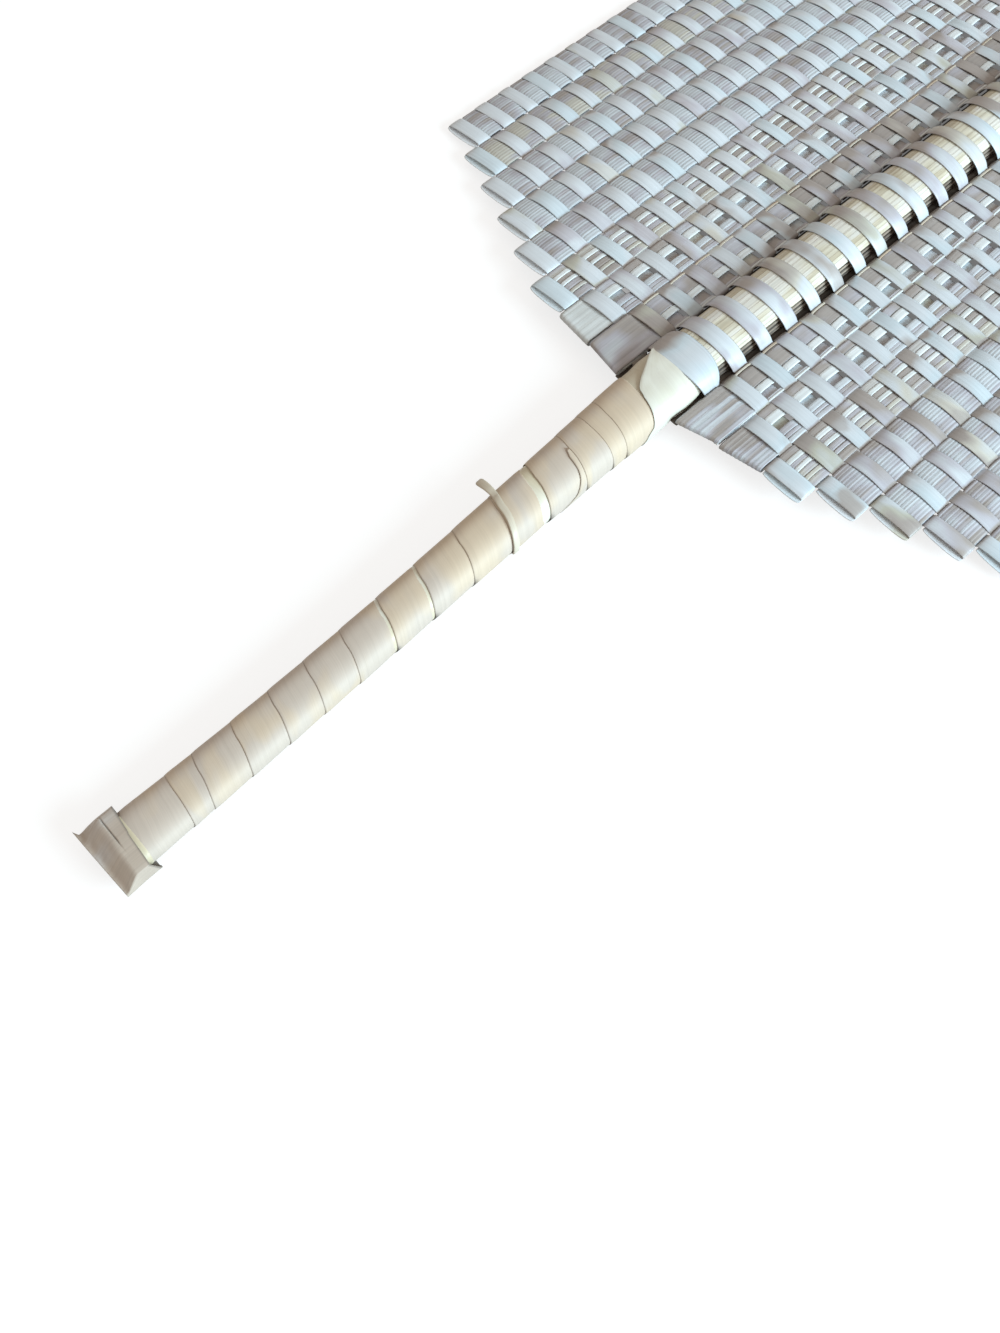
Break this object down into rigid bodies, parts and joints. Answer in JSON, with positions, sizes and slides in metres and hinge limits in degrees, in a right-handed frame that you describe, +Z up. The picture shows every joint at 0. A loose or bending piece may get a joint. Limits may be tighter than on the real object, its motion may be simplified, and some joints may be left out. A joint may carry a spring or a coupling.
{
  "type": "palm leaf hand fan",
  "caption": "Hand fan plaited from palm leaf: a woven blade on a thick leaf-covered spine, with a bound handle and a leaf cap folded over its butt.",
  "frame": {"origin": "middle of the fan's outline, on the surface that it lies on", "axes": "+Y along the fan from the butt of the handle to the tip of the blade, +Z up out of the front face, +X to the right seen from the front"},
  "size_m": [0.2156, 0.3834, 0.0136],
  "materials": {
    "leaf_cream": "dry, fine grained",
    "leaf_beige": "dry, fine grained",
    "rib_brown": "dry, fibrous",
    "leaf_pale_grey": "dry, slight sheen",
    "leaf_blue_grey": "dry, slight sheen",
    "leaf_lilac_grey": "dry, slight sheen",
    "leaf_olive_grey": "dry, slight sheen",
    "leaf_taupe": "dry, ribbed"
  },
  "bodies": {
    "root": {"spine_stick": "rib_brown", "spine_leaf_front": "leaf_cream", "spine_leaf_back": "leaf_cream", "column_left_1": "leaf_taupe", "column_right_1": "leaf_taupe", "column_left_2": "leaf_pale_grey", "column_right_2": "leaf_pale_grey", "column_left_3": "leaf_beige", "column_right_3": "leaf_beige", "column_left_4": "leaf_pale_grey", "column_right_4": "leaf_pale_grey", "column_left_5": "leaf_taupe", "column_right_5": "leaf_taupe", "column_left_6": "leaf_pale_grey", "column_right_6": "leaf_pale_grey", "column_left_7": "leaf_beige", "column_right_7": "leaf_beige", "column_left_8": "leaf_pale_grey", "column_right_8": "leaf_pale_grey", "weft_01": "leaf_lilac_grey", "weft_02": "leaf_pale_grey", "weft_03": "leaf_blue_grey", "weft_04": "leaf_pale_grey", "weft_05": "leaf_olive_grey", "weft_06": "leaf_beige", "weft_07": "leaf_pale_grey", "weft_08": "leaf_lilac_grey", "weft_09": "leaf_pale_grey", "weft_10": "leaf_blue_grey", "weft_11": "leaf_pale_grey", "weft_12": "leaf_olive_grey", "weft_13": "leaf_beige", "weft_14": "leaf_pale_grey", "weft_15": "leaf_lilac_grey", "weft_16": "leaf_pale_grey", "weft_17": "leaf_blue_grey", "weft_18": "leaf_pale_grey", "weft_19": "leaf_olive_grey", "weft_20": "leaf_beige", "weft_21": "leaf_pale_grey", "weft_22": "leaf_lilac_grey", "weft_23": "leaf_pale_grey", "weft_24": "leaf_blue_grey", "weft_25": "leaf_pale_grey", "weft_26": "leaf_olive_grey", "handle_wrap": "leaf_cream", "neck_binding": "leaf_cream", "handle_tie": "leaf_beige", "butt_cap": "leaf_beige"}
  },
  "joints": []
}
